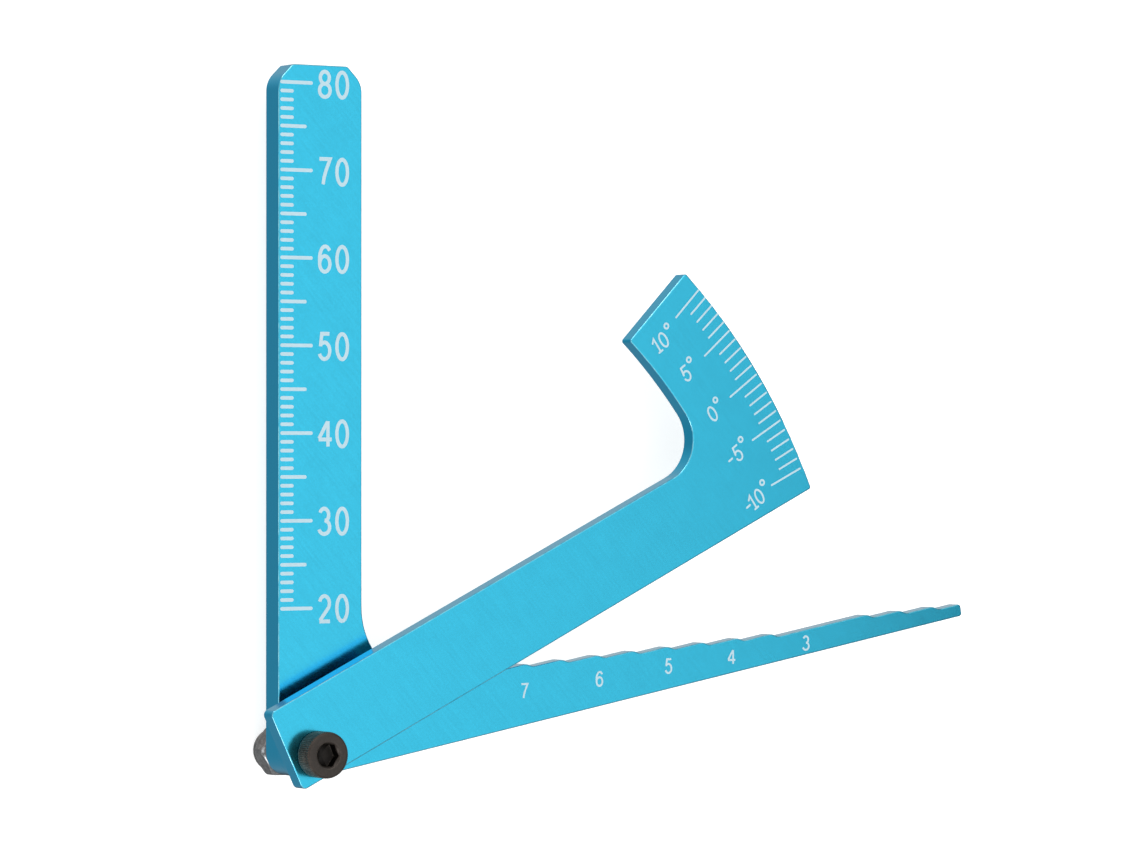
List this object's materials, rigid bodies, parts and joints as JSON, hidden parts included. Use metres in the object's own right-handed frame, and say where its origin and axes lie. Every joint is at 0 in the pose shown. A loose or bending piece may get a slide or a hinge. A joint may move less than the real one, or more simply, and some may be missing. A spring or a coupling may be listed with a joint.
{
  "type": "set-up gauge",
  "caption": "Folding pocket gauge: height ruler, stepped ride-height arm and hooked camber arm with a curved degree scale, stacked on a screw and lock nut.",
  "frame": {"origin": "on the pivot axis, at the tail end of the screw, which is the lowest point of the tool as it lies", "axes": "+Z along the pivot from the screw's tail to its head, +Y along the ruler from the pivot to its far end, +X to the side that the two arms open to"},
  "size_m": [0.099, 0.0824, 0.0145],
  "materials": {
    "blue_anodised": "satin blue anodising with bright broken edges",
    "laser_mark": "pale laser-marked lines and numbers, matt",
    "black_oxide": "black oxide on alloy steel, lightly oiled",
    "zinc_plate": "bright zinc plate",
    "nylon": "natural nylon"
  },
  "bodies": {
    "ruler": {"ruler": "blue_anodised"},
    "step_arm": {"step_arm": "blue_anodised"},
    "camber_arm": {"camber_arm": "blue_anodised"},
    "screw": {"cap_screw": "black_oxide"},
    "nut": {"lock_nut": "zinc_plate", "nylon_ring": "nylon"}
  },
  "joints": [
    {"name": "step_arm_swing", "type": "hinge", "parent": "ruler", "child": "step_arm", "pos_m": [0, 0, 0.0089], "axis": [0, 0, 1], "continuous": true},
    {"name": "camber_arm_swing", "type": "hinge", "parent": "ruler", "child": "camber_arm", "pos_m": [0, 0, 0.01095], "axis": [0, 0, 1], "continuous": true},
    {"name": "screw_turn", "type": "hinge", "parent": "ruler", "child": "screw", "pos_m": [0, 0, 0.012], "axis": [0, 0, 1], "range_deg": [0, 360]},
    {"name": "nut_travel", "type": "slide", "parent": "ruler", "child": "nut", "axis": [0, 0, -1], "range_m": [0, 0.0005]}
  ],
  "couplings": [
    {"joint": "screw_turn", "follows": "nut_travel", "rad_per_m": 12566}
  ]
}
